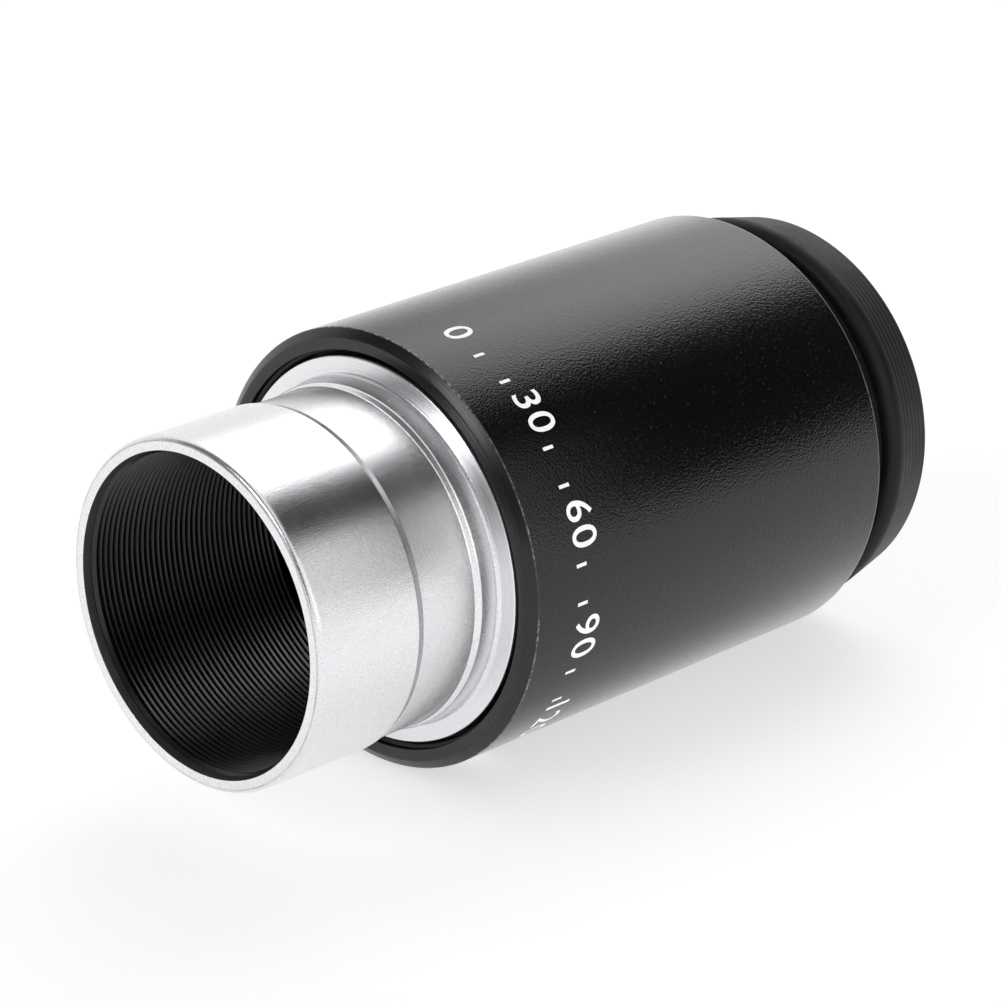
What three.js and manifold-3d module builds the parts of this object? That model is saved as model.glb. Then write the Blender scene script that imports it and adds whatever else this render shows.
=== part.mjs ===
// A 1.25 inch telescope eyepiece of the symmetrical (two doublet) kind, lying on its side.
// Millimetres, +Z up. The optical axis runs along +Y: the open barrel faces -Y, the eye end +Y.
// Stations are measured along the axis from the barrel's front rim, and radii from the axis.
import * as THREE from "three";
import { mergeVertices } from "three/addons/utils/BufferGeometryUtils.js";
import Module from "manifold-3d";

const wasm = await Module();
wasm.setup();

// ---- driving dimensions ----
const TOTAL_LENGTH = 75.3;
const BARREL_R = 15.875; // the 31.75 mm standard barrel
const BORE_R = 14.25; // room for the 28.5 mm filter thread
const MOUTH_R = 14.5;
const RIM_ROUND = 0.42;
const UNDERCUT_R = 15.55; // the safety undercut that a drawtube screw drops into
const UNDERCUT_START = 11.2;
const UNDERCUT_END = 18.2;
const FLANGE_R = 17.75;
const FLANGE_FACE = 20.75;
const FLANGE_BACK = 22.2;
const SPIGOT_R = 16.5; // the barrel's male thread, inside the shell
const BARREL_END = 29.8;

const SHELL_R = 20.3;
const SHELL_FRONT = 20.55;
const SHELL_REAR = 66.2;
const SHELL_CHAMFER = 0.6;
const RECESS_R = 18.35; // the flange sits in this recess
const COLLAR_FACE = 23.05;
const COLLAR_R = 16.85;
const SHOULDER_FRONT = 40.5;
const SHOULDER_BACK = 43.3;
const SHOULDER_R = 15.3;
const SHELL_BORE_R = 18.0;
const SHELL_MOUTH = 65.1;
const SHELL_MOUTH_R = 18.9;

const CELL_R = 15.0;
const CELL_BORE_R = 13.3;
const CELL_FRONT = 43.4;
const CELL_END = 65.8;
const LENS_R = 13.05;
const FLINT_FACE = 45.0;
const FLINT_MIDDLE = 1.8;
const CROWN_MIDDLE = 7.6;
const CEMENT_RADIUS = 26.0; // the cemented surface, strongly curved
const CROWN_RADIUS = 38.0; // the crown's outer surface, gently curved
const CEMENT_GAP = 0.06;
const LENS_GROUP_GAP = 0.5; // between the two crowns, on the axis

const CAP_R = 17.7;
const CAP_FRONT = 58.0;
const CAP_END = 68.9;
const CAP_NECK_R = 16.8;
const MASK_MOUTH_R = 14.2; // the cone in front of the eye lens, from its mouth
const MASK_THROAT_R = 12.3; // to its throat
const MASK_THROAT = 66.7;
const GROOVE_R = 16.1; // the eyecup's bead snaps into this groove
const GROOVE_START = 66.8;
const GROOVE_END = 67.8;
const GROOVE_SLOPE = 0.2;

const CUP_FOOT_R = 17.7;
const CUP_START = 66.4;
const CUP_WALL_START = 68.6;
const CUP_SHOULDER_FRONT = 69.3;
const CUP_SHOULDER_ROUND = 1.3;
const CUP_R = 19.0; // the widest ring, just behind the rounded shoulder
const CUP_TAPER = 0.21; // how much the radius falls for each millimetre towards the lip
const CUP_LIP_START = 74.0;
const CUP_WALL_THICK = 1.7;

const FIT = 0.1; // axial gap between two pieces that touch
const SCREW_R = 1.0;
const SCREW_LENGTH = 2.0;
const SCREW_STATION = 62.0;
const SCREW_COUNT = 3;

const OUTER_SIDES = 48;
const INNER_SIDES = 32;

// ---- helpers ----
const group = new THREE.Group();
const axis = new THREE.Group(); // holds the optical axis above the ground
axis.position.z = SHELL_R * Math.cos(Math.PI / OUTER_SIDES);
axis.position.y = -TOTAL_LENGTH / 2;
group.add(axis);

// A closed [radius, station] outline turned about the axis, with a flat side facing down.
function turned(outline, sides) {
  let area = 0;
  outline.forEach(([r, s], i) => {
    const [nextR, nextS] = outline[(i + 1) % outline.length];
    area += r * nextS - nextR * s;
  });
  const inOrder = area > 0 ? outline : [...outline].reverse();
  const points = inOrder.map(([r, s]) => new THREE.Vector2(r, s));
  points.push(points[0].clone());
  return new THREE.LatheGeometry(points, sides, Math.PI / sides, 2 * Math.PI);
}

// A disc turned from an outline that starts and ends on the axis.
function turnedDisc(outline, sides) {
  const points = outline.map(([r, s]) => new THREE.Vector2(r, s));
  return new THREE.LatheGeometry(points, sides, Math.PI / sides, 2 * Math.PI);
}

function solidOf(geometry) {
  const bare = geometry.clone();
  bare.deleteAttribute("normal");
  bare.deleteAttribute("uv");
  const merged = mergeVertices(bare, 1e-4);
  return new wasm.Manifold(
    new wasm.Mesh({
      numProp: 3,
      vertProperties: merged.getAttribute("position").array,
      triVerts: new Uint32Array(merged.index.array),
    }),
  );
}

function geometryOf(solid) {
  const mesh = solid.getMesh();
  const made = new THREE.BufferGeometry();
  made.setAttribute("position", new THREE.BufferAttribute(mesh.vertProperties, 3));
  made.setIndex(new THREE.BufferAttribute(mesh.triVerts, 1));
  made.computeVertexNormals();
  return made;
}

function addPiece(name, geometry, material, parent = axis) {
  const mesh = new THREE.Mesh(geometry, material);
  mesh.name = name;
  parent.add(mesh);
  return mesh;
}

function finish(color, roughness, metalness, more = {}) {
  return new THREE.MeshStandardMaterial({ color, roughness, metalness, ...more });
}

// A quarter round from one [radius, station] to another, bulging away from the centre [radius, station].
function quarter(centreR, centreS, round, fromAngle, steps) {
  const points = [];
  for (let i = 0; i <= steps; i++) {
    const angle = fromAngle + (i / steps) * (Math.PI / 2);
    points.push([centreR + round * Math.cos(angle), centreS + round * Math.sin(angle)]);
  }
  return points;
}

// ---- finishes ----
const polished = () => finish(0xe8e8ec, 0.22, 1.0);
const grainedBlack = () => finish(0x111113, 0.45, 0.1);
const mattBlack = () => finish(0x0c0c0d, 0.7, 0.2);
const rubber = () => finish(0x2a2a2d, 0.75, 0.0);
const steel = () => finish(0x3a3a3d, 0.4, 0.9);
const glass = (tint) => finish(tint, 0.03, 0.0, { transparent: true, opacity: 0.35 });

// ---- nosepiece ----
function nosepieceBarrel() {
  return turned(
    [
      [MOUTH_R + 0.15, 0],
      ...quarter(BARREL_R - RIM_ROUND, RIM_ROUND, RIM_ROUND, -Math.PI / 2, 3),
      [BARREL_R, UNDERCUT_START],
      [UNDERCUT_R, UNDERCUT_START + 0.8],
      [UNDERCUT_R, UNDERCUT_END],
      [BARREL_R, UNDERCUT_END + 0.4],
      [BARREL_R, FLANGE_FACE - 0.35],
      [BARREL_R + 0.3, FLANGE_FACE],
      [FLANGE_R - 0.1, FLANGE_FACE],
      [FLANGE_R, FLANGE_FACE + 0.1],
      [FLANGE_R, FLANGE_BACK],
      [SPIGOT_R - 0.4, FLANGE_BACK],
      [SPIGOT_R - 0.4, FLANGE_BACK + 1.1],
      [SPIGOT_R, FLANGE_BACK + 1.5],
      [SPIGOT_R, BARREL_END - 0.4],
      [SPIGOT_R - 0.4, BARREL_END],
      [BORE_R, BARREL_END],
      [BORE_R, 1.2],
      [MOUTH_R, 0.9],
      [MOUTH_R, 0.15],
    ],
    OUTER_SIDES,
  );
}

// A thin ring with a knife edge: its edge is the sharp border of the view.
function fieldStopRing() {
  const front = 25.0;
  const length = 2.6;
  const edgeR = 13.35;
  const outerR = BORE_R - 0.12;
  return turned(
    [
      [edgeR, front],
      [outerR, front],
      [outerR, front + length],
      [outerR - 0.35, front + length],
      [edgeR, front + 0.3],
    ],
    INNER_SIDES,
  );
}

// The slip washer under the flange. It follows the barrel in and out without turning.
function flangeWasher() {
  return turned(
    [
      [SPIGOT_R + 0.1, FLANGE_BACK + FIT],
      [FLANGE_R, FLANGE_BACK + FIT],
      [FLANGE_R, COLLAR_FACE - FIT],
      [SPIGOT_R + 0.1, COLLAR_FACE - FIT],
    ],
    OUTER_SIDES,
  );
}

// ---- housing ----
function bodyShell() {
  const rearRound = 0.5;
  return turned(
    [
      [RECESS_R, SHELL_FRONT],
      [SHELL_R - SHELL_CHAMFER, SHELL_FRONT],
      [SHELL_R, SHELL_FRONT + SHELL_CHAMFER],
      ...quarter(SHELL_R - rearRound, SHELL_REAR - rearRound, rearRound, 0, 2),
      [SHELL_MOUTH_R, SHELL_REAR],
      [SHELL_MOUTH_R, SHELL_MOUTH],
      [SHELL_BORE_R, SHELL_MOUTH],
      [SHELL_BORE_R, SHOULDER_BACK],
      [SHOULDER_R, SHOULDER_BACK],
      [SHOULDER_R, SHOULDER_FRONT],
      [COLLAR_R, SHOULDER_FRONT],
      [COLLAR_R, COLLAR_FACE],
      [RECESS_R, COLLAR_FACE],
    ],
    OUTER_SIDES,
  );
}

function glareBaffle() {
  const front = 36.5;
  return turned(
    [
      [12.7, front],
      [COLLAR_R - 0.15, front],
      [COLLAR_R - 0.15, front + 3.6],
      [COLLAR_R - 0.9, front + 3.6],
      [COLLAR_R - 0.9, front + 0.8],
      [12.7, front + 0.5],
    ],
    INNER_SIDES,
  );
}

// The tube that holds both lens groups, with a flange that seats on the shell's shoulder.
function lensCell() {
  const lipEnd = FLINT_FACE - FIT;
  const flangeEnd = CELL_FRONT + 2.4;
  return turned(
    [
      [12.5, CELL_FRONT],
      [SHELL_BORE_R - 0.25, CELL_FRONT],
      [SHELL_BORE_R - 0.25, flangeEnd],
      [CELL_R, flangeEnd],
      [CELL_R, CELL_END],
      [CELL_BORE_R + 0.35, CELL_END],
      [CELL_BORE_R + 0.35, 63.9],
      [CELL_BORE_R, 63.6],
      [CELL_BORE_R, lipEnd],
      [12.5, lipEnd],
    ],
    INNER_SIDES,
  );
}

// The ring nut that presses the cell's flange onto the shell's shoulder.
function cellLockRing() {
  const front = CELL_FRONT + 2.4 + FIT;
  return turned(
    [
      [CELL_R + 0.3, front],
      [SHELL_BORE_R - 0.25, front],
      [SHELL_BORE_R - 0.25, front + 3.0],
      [CELL_R + 0.3, front + 3.0],
    ],
    INNER_SIDES,
  );
}

// Points of a spherical face from its edge to the axis, or the other way round.
// The vertex is the face's station on the axis; way is +1 where the face falls back towards the eye.
function face(vertex, radius, way, fromAxis) {
  const steps = 4;
  const points = [];
  for (let i = 0; i <= steps; i++) {
    const r = (LENS_R * i) / steps;
    const sag = radius - Math.sqrt(radius * radius - r * r);
    points.push([r, vertex + way * sag]);
  }
  return fromAxis ? points : points.reverse();
}

// The two lens groups mirror each other about this station.
const GROUP_LENGTH = FLINT_MIDDLE + CEMENT_GAP + CROWN_MIDDLE;
const MIRROR_STATION = FLINT_FACE + GROUP_LENGTH + LENS_GROUP_GAP / 2;

function mirrored(outline) {
  return outline.map(([r, s]) => [r, 2 * MIRROR_STATION - s]).reverse();
}

function flintOutline() {
  return [
    [0, FLINT_FACE],
    [LENS_R, FLINT_FACE],
    ...face(FLINT_FACE + FLINT_MIDDLE, CEMENT_RADIUS, 1, false),
  ];
}

function crownOutline() {
  const front = FLINT_FACE + FLINT_MIDDLE + CEMENT_GAP;
  return [
    ...face(front, CEMENT_RADIUS, 1, true),
    ...face(front + CROWN_MIDDLE, CROWN_RADIUS, -1, false),
  ];
}

// The spacer that keeps the two crowns apart at their edges, bevelled to sit on their curved faces.
function lensSpacer() {
  const innerR = LENS_R - 0.75;
  const outerR = LENS_R + 0.05;
  const vertex = FLINT_FACE + GROUP_LENGTH;
  const seat = (r) => vertex - CROWN_RADIUS + Math.sqrt(CROWN_RADIUS ** 2 - r ** 2) + FIT;
  const front = [
    [innerR, seat(innerR)],
    [outerR, seat(outerR)],
  ];
  return turned([...front, ...mirrored(front)], INNER_SIDES);
}

const EYE_FACE = 2 * MIRROR_STATION - FLINT_FACE;

// A slotted ring nut that holds the lens groups in the cell.
function lensRetainingRing() {
  const front = EYE_FACE + FIT;
  const ring = solidOf(
    turned(
      [
        [12.2, front],
        [CELL_BORE_R + 0.1, front],
        [CELL_BORE_R + 0.1, front + 1.1],
        [12.5, front + 1.1],
      ],
      INNER_SIDES,
    ),
  );
  const slot = new THREE.BoxGeometry(3 * LENS_R, 1.0, 1.1);
  slot.translate(0, front + 1.1, 0);
  return geometryOf(ring.subtract(solidOf(slot)));
}

// ---- eye end ----
function screwPlace(i) {
  const place = new THREE.Group();
  place.rotation.y = Math.PI / 2 + (i * 2 * Math.PI) / SCREW_COUNT;
  place.position.y = SCREW_STATION;
  return place;
}

// The black cap that closes the shell's rear and carries the rubber eyecup in a groove.
function eyeEndCap() {
  let cap = solidOf(
    turned(
      [
        [CELL_R + 0.3, CAP_FRONT],
        [CAP_R, CAP_FRONT],
        [CAP_R, SHELL_REAR - 0.3],
        [CAP_NECK_R, SHELL_REAR - 0.1],
        [CAP_NECK_R, GROOVE_START - GROOVE_SLOPE],
        [GROOVE_R, GROOVE_START],
        [GROOVE_R, GROOVE_END],
        [CAP_NECK_R, GROOVE_END + GROOVE_SLOPE],
        [CAP_NECK_R, CAP_END],
        [MASK_MOUTH_R, CAP_END],
        [MASK_THROAT_R, MASK_THROAT],
        [MASK_THROAT_R, CELL_END + FIT],
        [CELL_R + 0.3, CELL_END + FIT],
      ],
      INNER_SIDES,
    ),
  );
  for (let i = 0; i < SCREW_COUNT; i++) {
    const hole = new THREE.CylinderGeometry(SCREW_R + 0.1, SCREW_R + 0.1, 4.5, 12);
    hole.rotateZ(Math.PI / 2);
    hole.translate(CAP_R - 1.2, 0, 0);
    const place = screwPlace(i);
    place.updateMatrix();
    hole.applyMatrix4(place.matrix);
    cap = cap.subtract(solidOf(hole));
  }
  return geometryOf(cap);
}

// A grub screw with a hexagon socket, its outer end just below the cap's thread.
function grubScrew() {
  const body = new THREE.CylinderGeometry(SCREW_R, SCREW_R, SCREW_LENGTH, 12);
  const socket = new THREE.CylinderGeometry(0.5, 0.5, 1.0, 6);
  socket.translate(0, SCREW_LENGTH / 2, 0);
  const screw = geometryOf(solidOf(body).subtract(solidOf(socket)));
  screw.rotateZ(-Math.PI / 2);
  screw.translate(CAP_R - 0.2 - SCREW_LENGTH / 2, 0, 0);
  return screw;
}

function cupOuter(station) {
  // The cup is widest just behind its shoulder and draws in evenly to its lip.
  return CUP_R - CUP_TAPER * (station - CUP_SHOULDER_FRONT - CUP_SHOULDER_ROUND);
}

function eyecupCollar() {
  const neck = CAP_NECK_R + 0.15;
  const bead = GROOVE_R + 0.2;
  return turned(
    [
      [neck, CUP_START],
      [CUP_FOOT_R - 0.3, CUP_START],
      [CUP_FOOT_R, CUP_START + 0.3],
      [CUP_FOOT_R, CUP_WALL_START],
      [neck, CUP_WALL_START],
      [neck, GROOVE_END],
      [bead, GROOVE_END - GROOVE_SLOPE - 0.1],
      [bead, GROOVE_START + 0.1],
      [neck, GROOVE_START - GROOVE_SLOPE + 0.05],
    ],
    OUTER_SIDES,
  );
}

function eyecupWall() {
  const start = CUP_WALL_START + FIT;
  const end = CUP_LIP_START - FIT;
  const shoulderEnd = CUP_SHOULDER_FRONT + CUP_SHOULDER_ROUND;
  const shoulder = [];
  const steps = 4;
  for (let i = 0; i <= steps; i++) {
    const angle = ((Math.PI / 2) * i) / steps;
    const radius = CUP_R - CUP_SHOULDER_ROUND * (1 - Math.sin(angle));
    shoulder.push([radius, shoulderEnd - CUP_SHOULDER_ROUND * Math.cos(angle)]);
  }
  return turned(
    [
      [CAP_NECK_R + 0.15, start],
      [CUP_FOOT_R, start],
      ...shoulder,
      [cupOuter(end), end],
      [cupOuter(end) - CUP_WALL_THICK, end],
      [CUP_R - CUP_WALL_THICK, shoulderEnd],
    ],
    OUTER_SIDES,
  );
}

function eyecupLip() {
  const lipRound = 0.4;
  const lipThick = CUP_WALL_THICK + 0.5;
  const outerR = cupOuter(TOTAL_LENGTH);
  return turned(
    [
      [cupOuter(CUP_LIP_START) - lipThick, CUP_LIP_START],
      [cupOuter(CUP_LIP_START), CUP_LIP_START],
      ...quarter(outerR - lipRound, TOTAL_LENGTH - lipRound, lipRound, 0, 3),
      [outerR - lipThick, TOTAL_LENGTH],
    ],
    OUTER_SIDES,
  );
}

// ---- assembly ----
addPiece("nosepiece_barrel", nosepieceBarrel(), polished());
addPiece("field_stop_ring", fieldStopRing(), mattBlack());
addPiece("flange_washer", flangeWasher(), mattBlack());
addPiece("body_shell", bodyShell(), grainedBlack());
addPiece("glare_baffle", glareBaffle(), mattBlack());
addPiece("lens_cell", lensCell(), mattBlack());
addPiece("cell_lock_ring", cellLockRing(), mattBlack());
addPiece("field_flint", turnedDisc(flintOutline(), INNER_SIDES), glass(0xd9e6dc));
addPiece("field_crown", turnedDisc(crownOutline(), INNER_SIDES), glass(0xe4eef0));
addPiece("lens_spacer", lensSpacer(), mattBlack());
addPiece("eye_crown", turnedDisc(mirrored(crownOutline()), INNER_SIDES), glass(0xe4eef0));
addPiece("eye_flint", turnedDisc(mirrored(flintOutline()), INNER_SIDES), glass(0xd9e6dc));
addPiece("lens_retaining_ring", lensRetainingRing(), mattBlack());
addPiece("eye_end_cap", eyeEndCap(), mattBlack());
for (let i = 0; i < SCREW_COUNT; i++) {
  const place = screwPlace(i);
  axis.add(place);
  addPiece(`cap_grub_screw_${i + 1}`, grubScrew(), steel(), place);
}
addPiece("eyecup_collar", eyecupCollar(), rubber());
addPiece("eyecup_wall", eyecupWall(), rubber());
addPiece("eyecup_lip", eyecupLip(), rubber());

export default group;
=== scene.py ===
# %% [markdown]
# # A telescope eyepiece, turned piece by piece
# This eyepiece is almost all lathe work: a bright barrel that slips into the telescope, a black grained
# body, a rubber eyecup and, inside, two cemented lens pairs held by rings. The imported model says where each
# piece is and how it moves. Here every piece gets its fine shape and its finish. A turned piece needs only
# half of its section, drawn once and spun about the optical axis, so most of the modelling below is drawing
# sections.

import math

import bmesh
import bpy
from mathutils import Matrix, Vector


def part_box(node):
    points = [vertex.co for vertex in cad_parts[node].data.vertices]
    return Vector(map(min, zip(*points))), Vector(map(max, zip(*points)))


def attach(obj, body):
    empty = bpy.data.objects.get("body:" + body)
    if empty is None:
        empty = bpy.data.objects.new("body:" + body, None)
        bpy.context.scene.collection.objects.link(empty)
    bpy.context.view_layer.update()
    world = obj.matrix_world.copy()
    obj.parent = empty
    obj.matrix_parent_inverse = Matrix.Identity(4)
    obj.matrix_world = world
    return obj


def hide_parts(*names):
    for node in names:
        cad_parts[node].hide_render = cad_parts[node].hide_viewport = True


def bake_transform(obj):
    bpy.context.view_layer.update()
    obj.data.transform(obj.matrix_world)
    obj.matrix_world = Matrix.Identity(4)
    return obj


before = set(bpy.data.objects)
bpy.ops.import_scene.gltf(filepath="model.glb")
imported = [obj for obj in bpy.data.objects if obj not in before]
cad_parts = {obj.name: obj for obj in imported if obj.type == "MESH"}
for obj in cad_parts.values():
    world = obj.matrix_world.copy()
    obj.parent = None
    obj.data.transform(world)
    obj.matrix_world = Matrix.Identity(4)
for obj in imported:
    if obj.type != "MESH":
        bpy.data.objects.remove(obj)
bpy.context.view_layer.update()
MM = 0.001

# %% [markdown]
# ## Stations and radii
# A turner works with two numbers: how far along the axis, and how far out from it. The front rim of the
# barrel is station 0 and the eye end is the largest station. The driving sizes are read from the packed
# nodes, so the fine pieces can't drift away from them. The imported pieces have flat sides, and a box
# touches the flats, so a true radius is the half width divided by the cosine of half a side's angle.

# %% Driving sizes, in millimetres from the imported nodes
OUTER_SIDES = 48
INNER_SIDES = 32
FRONT_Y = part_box("nosepiece_barrel")[0].y
AXIS_Z = (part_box("body_shell")[0].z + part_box("body_shell")[1].z) / 2


def station_of(y):
    return (y - FRONT_Y) / MM


def front_of(node):
    return station_of(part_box(node)[0].y)


def back_of(node):
    return station_of(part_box(node)[1].y)


def radius_of(node, sides=OUTER_SIDES):
    low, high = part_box(node)
    return (high.x - low.x) / 2 / MM / math.cos(math.pi / sides)


def place_of(station):
    """A point on the optical axis, in metres, at a station in millimetres."""
    return Vector((0, FRONT_Y + station * MM, AXIS_Z))


def span_of(node):
    """The stations of a node's front and back."""
    return front_of(node), back_of(node)


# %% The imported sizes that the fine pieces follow
# The shell keeps to its half width across the flats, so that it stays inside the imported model's box.
SHELL_R = radius_of("body_shell") * math.cos(math.pi / OUTER_SIDES)
SHELL_FRONT = front_of("body_shell")
SHELL_REAR = back_of("body_shell")
FLANGE_R = radius_of("nosepiece_barrel")
BARREL_R = 15.875
BARREL_END = back_of("nosepiece_barrel")
TOTAL = back_of("eyecup_lip")
print(f"shell {SHELL_R:.2f} mm, from {SHELL_FRONT:.2f} to {SHELL_REAR:.2f}, length {TOTAL:.2f} mm")

# %% [markdown]
# ## The camera
# The eyepiece is seen from the barrel's side and from above, with a long lens, so its round edges stay
# nearly parallel. The camera is placed from the front rim: it looks along its own azimuth and elevation,
# and the rim sits a little left of and below the middle of the picture.

# %% Camera
CAMERA_AZIMUTH = math.radians(45.0)
CAMERA_ELEVATION = math.radians(21.7)
CAMERA_DISTANCE = 357 * MM
RIM_LEFT = 26.0 * MM
RIM_BELOW = 9.85 * MM
LENS_MM = 151.0

camera = bpy.data.objects.new("camera", bpy.data.cameras.new("camera"))
bpy.context.scene.collection.objects.link(camera)
camera.data.lens = LENS_MM
camera.data.sensor_width = 36
camera.data.clip_start = 0.01
camera.rotation_euler = (math.pi / 2 - CAMERA_ELEVATION, 0, CAMERA_AZIMUTH)
turn_camera = camera.rotation_euler.to_matrix()
camera.location = place_of(0) - turn_camera @ Vector((-RIM_LEFT, -RIM_BELOW, -CAMERA_DISTANCE))
bpy.context.scene.camera = camera
print("camera at", [round(x, 3) for x in camera.location])

# %% [markdown]
# ## Floor and light
# Polished metal shows what is around it, so the light is a tent: an even sky and a pale floor, with no lamp
# in sight. A plain white tent makes bright metal vanish and black coats look grey. In a studio the tent is
# opened to a dark room on one side, and the cloth above is lit more brightly. The sky here does the same,
# with a few soft-edged round patches. Behind the camera the room is dark too, but for one bright window that
# shows in the front edges.

# %% Floor
FLOOR_HALF = 6.0
FLOOR_DROP = 0.05 * MM
FLOOR_GLOW = 0.63

floor_mesh = bpy.data.meshes.new("floor")
bm = bmesh.new()
bmesh.ops.create_grid(bm, x_segments=1, y_segments=1, size=FLOOR_HALF)
bmesh.ops.translate(bm, verts=bm.verts, vec=(0, 0, -FLOOR_DROP))
bm.to_mesh(floor_mesh)
bm.free()
floor = bpy.data.objects.new("floor", floor_mesh)
bpy.context.scene.collection.objects.link(floor)

floor_paint = bpy.data.materials.new("pale_floor")
floor_paint.use_nodes = True
floor_shader = floor_paint.node_tree.nodes["Principled BSDF"]
floor_shader.inputs["Base Color"].default_value = (0.5, 0.5, 0.505, 1)
floor_shader.inputs["Roughness"].default_value = 0.8
floor_shader.inputs["Specular IOR Level"].default_value = 0.1
floor_shader.inputs["Emission Color"].default_value = (1, 1, 1, 1)
floor_shader.inputs["Emission Strength"].default_value = FLOOR_GLOW
floor.data.materials.append(floor_paint)

# %% Sky with patches
bpy.context.scene.view_settings.view_transform = "Standard"
sky = bpy.data.worlds.new("tent")
bpy.context.scene.world = sky
sky.use_nodes = True
tent = sky.node_tree
background = tent.nodes["Background"]
background.inputs["Strength"].default_value = 1.0
sky_way = tent.nodes.new("ShaderNodeTexCoord")


def from_camera(right, up, forward):
    """A direction in the world, given as the camera sees it."""
    return (turn_camera @ Vector((right, up, -forward))).normalized()


def patch(colour, way, inner_deg, outer_deg, brightness):
    """Lays a soft round patch over the sky's colour so far."""
    dot = tent.nodes.new("ShaderNodeVectorMath")
    dot.operation = "DOT_PRODUCT"
    tent.links.new(sky_way.outputs["Generated"], dot.inputs[0])
    dot.inputs[1].default_value = way
    fade = tent.nodes.new("ShaderNodeMapRange")
    fade.interpolation_type = "SMOOTHSTEP"
    fade.inputs["From Min"].default_value = math.cos(math.radians(outer_deg))
    fade.inputs["From Max"].default_value = math.cos(math.radians(inner_deg))
    tent.links.new(dot.outputs["Value"], fade.inputs["Value"])
    mix = tent.nodes.new("ShaderNodeMix")
    mix.data_type = "RGBA"
    mix.inputs["B"].default_value = (brightness, brightness, brightness * 1.01, 1)
    tent.links.new(fade.outputs["Result"], mix.inputs["Factor"])
    if isinstance(colour, bpy.types.NodeSocket):
        tent.links.new(colour, mix.inputs["A"])
    else:
        mix.inputs["A"].default_value = (colour, colour, colour, 1)
    return mix.outputs["Result"]


# %% The cloth above, the dark opening, the room and its window
# Each patch has a direction, the angle of its even middle, the angle where it ends, and a brightness.
SKY = 0.95
cloth = patch(SKY, from_camera(0.24, 0.91, 0.34), 12, 27, 2.3)
opening = patch(cloth, from_camera(0.86, 0.51, -0.06), 31, 35, 0.05)
room = patch(opening, from_camera(-0.65, 0.35, -0.68), 46, 54, 0.15)
window = patch(room, from_camera(-0.62, 0.3, -0.72), 9, 15, 5.0)
tent.links.new(window, background.inputs["Color"])

# %% [markdown]
# ## A card beside the barrel
# A small white card close to the barrel's side fills in the metal there. It is too near and too small for
# the body behind to see it, so the body stays black. An area light of the card's size stands for it.

# %% Card
CARD_RIGHT = 70 * MM
CARD_UP = 20 * MM
CARD_FORWARD = -31 * MM
CARD_SIZE = (50 * MM, 52 * MM)
CARD_BRIGHTNESS = 0.55
CARD_AIM = 10


def card_light(name, right, up, forward, size, brightness):
    """An area light placed from the barrel's front rim, facing a point on the barrel's axis."""
    lamp = bpy.data.lights.new(name, "AREA")
    lamp.shape = "RECTANGLE"
    lamp.size, lamp.size_y = size
    lamp.energy = 4 * brightness * size[0] * size[1]
    card = bpy.data.objects.new(name, lamp)
    bpy.context.scene.collection.objects.link(card)
    card.location = place_of(0) + turn_camera @ Vector((right, up, -forward))
    card.rotation_euler = (place_of(CARD_AIM) - card.location).to_track_quat("-Z", "Y").to_euler()
    card.visible_camera = False


card_light("card", CARD_RIGHT, CARD_UP, CARD_FORWARD, CARD_SIZE, CARD_BRIGHTNESS)

# %% [markdown]
# ## Shared finish effects
# Some effects return on several materials: the fine rings that a lathe tool leaves, the speckle of polished
# metal, and the small even grain of a coating. Each is a node group, built once, with its size as an input.
# All read Object coordinates. The lathe rings need the distance from the axis and the station, and a group
# called axis_place works those out.

# %% Group helpers
def new_group(name, inputs, outputs):
    group = bpy.data.node_groups.new(name, "ShaderNodeTree")
    for socket_name, kind, value in inputs:
        socket = group.interface.new_socket(socket_name, in_out="INPUT", socket_type=kind)
        socket.default_value = value
    for socket_name, kind in outputs:
        group.interface.new_socket(socket_name, in_out="OUTPUT", socket_type=kind)
    return group, group.nodes.new("NodeGroupInput"), group.nodes.new("NodeGroupOutput")


def math_node(tree, operation, a, b=None, c=None):
    """A Math node fed by sockets or plain numbers. It returns the result's socket."""
    node = tree.nodes.new("ShaderNodeMath")
    node.operation = operation
    for socket, value in zip(node.inputs, (a, b, c)):
        if isinstance(value, bpy.types.NodeSocket):
            tree.links.new(value, socket)
        elif value is not None:
            socket.default_value = value
    return node.outputs[0]


def ramp_node(tree, value, low, high, to_low=0.0, to_high=1.0):
    """A smooth step from one value to another."""
    node = tree.nodes.new("ShaderNodeMapRange")
    node.interpolation_type = "SMOOTHSTEP"
    tree.links.new(value, node.inputs["Value"])
    for socket, number in zip(("From Min", "From Max", "To Min", "To Max"), (low, high, to_low, to_high)):
        node.inputs[socket].default_value = number
    return node.outputs["Result"]


def noise_node(tree, vector, scale, detail=2.0, roughness=0.5):
    node = tree.nodes.new("ShaderNodeTexNoise")
    node.inputs["Scale"].default_value = scale
    node.inputs["Detail"].default_value = detail
    node.inputs["Roughness"].default_value = roughness
    tree.links.new(vector, node.inputs["Vector"])
    return node.outputs["Fac"]


def object_noise(tree, scale, detail, roughness=0.5):
    """A noise on Object coordinates."""
    coords = tree.nodes.new("ShaderNodeTexCoord")
    return noise_node(tree, coords.outputs["Object"], scale, detail, roughness)


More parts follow.
